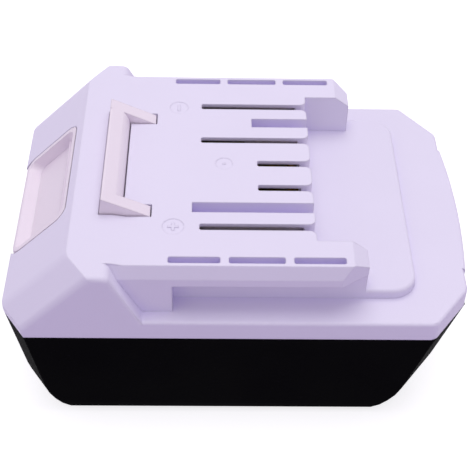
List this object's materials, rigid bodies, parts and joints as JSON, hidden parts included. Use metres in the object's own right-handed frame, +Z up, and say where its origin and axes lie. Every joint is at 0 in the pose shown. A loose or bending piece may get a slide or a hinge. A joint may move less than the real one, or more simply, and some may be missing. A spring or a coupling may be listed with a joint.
{
  "type": "power tool battery pack",
  "caption": "Slide-on battery pack for a cordless tool: pale upper case with flanged rails, slotted contacts and a sprung release latch over a black lower case.",
  "frame": {"origin": "centre of the pack's box, at its bottom", "axes": "+X to the rear end, which enters the tool first; +Y to the pack's right, the picture's far side; +Z up, out of the rails"},
  "size_m": [0.1054, 0.075, 0.0507],
  "materials": {
    "pale_case": "moulded pale lavender-white plastic, fine satin texture",
    "black_case": "moulded black plastic, fine satin texture",
    "latch_plastic": "moulded pinkish-white plastic, smooth satin",
    "spring_steel": "bright drawn wire",
    "cell_sleeve": "blue shrink sleeve over a metal can",
    "white_paper": "white insulating paper",
    "holder_plastic": "black moulded holder",
    "nickel": "rolled nickel strip",
    "insulating_paper": "tan insulating paper",
    "foam": "dark closed-cell foam",
    "board": "green solder mask on glass laminate",
    "chip_black": "black moulded package",
    "capacitor_can": "plain aluminium can",
    "block_plastic": "black moulded block",
    "contact_metal": "plated spring brass",
    "screw_steel": "zinc-plated steel"
  },
  "bodies": {
    "pack": {"upper_case": "pale_case", "lower_case": "black_case", "latch_spring_left": "spring_steel", "latch_spring_right": "spring_steel", "cell_1": "cell_sleeve", "cell_2": "cell_sleeve", "cell_3": "cell_sleeve", "cell_4": "cell_sleeve", "cell_rings": "white_paper", "cell_holder_left": "holder_plastic", "cell_holder_right": "holder_plastic", "strip_negative": "nickel", "strip_1_2": "nickel", "strip_2_3": "nickel", "strip_3_4": "nickel", "strip_positive": "nickel", "sheet_left": "insulating_paper", "sheet_right": "insulating_paper", "foam_pads": "foam", "circuit_board": "board", "control_chip": "chip_black", "power_transistors": "chip_black", "capacitors": "capacitor_can", "temperature_sensor": "chip_black", "terminal_block": "block_plastic", "contact_negative": "contact_metal", "contact_charge": "contact_metal", "contact_data": "contact_metal", "contact_sense": "contact_metal", "contact_positive": "contact_metal", "case_screws": "screw_steel", "board_screws": "screw_steel"},
    "latch": {"release_latch": "latch_plastic"}
  },
  "joints": [
    {"name": "latch_press", "type": "slide", "parent": "pack", "child": "latch", "axis": [0, 0, -1], "range_m": [0, 0.005], "stiffness_N_per_m": 600, "springref_m": -0.004, "deforming": ["latch_spring_left", "latch_spring_right"]}
  ]
}
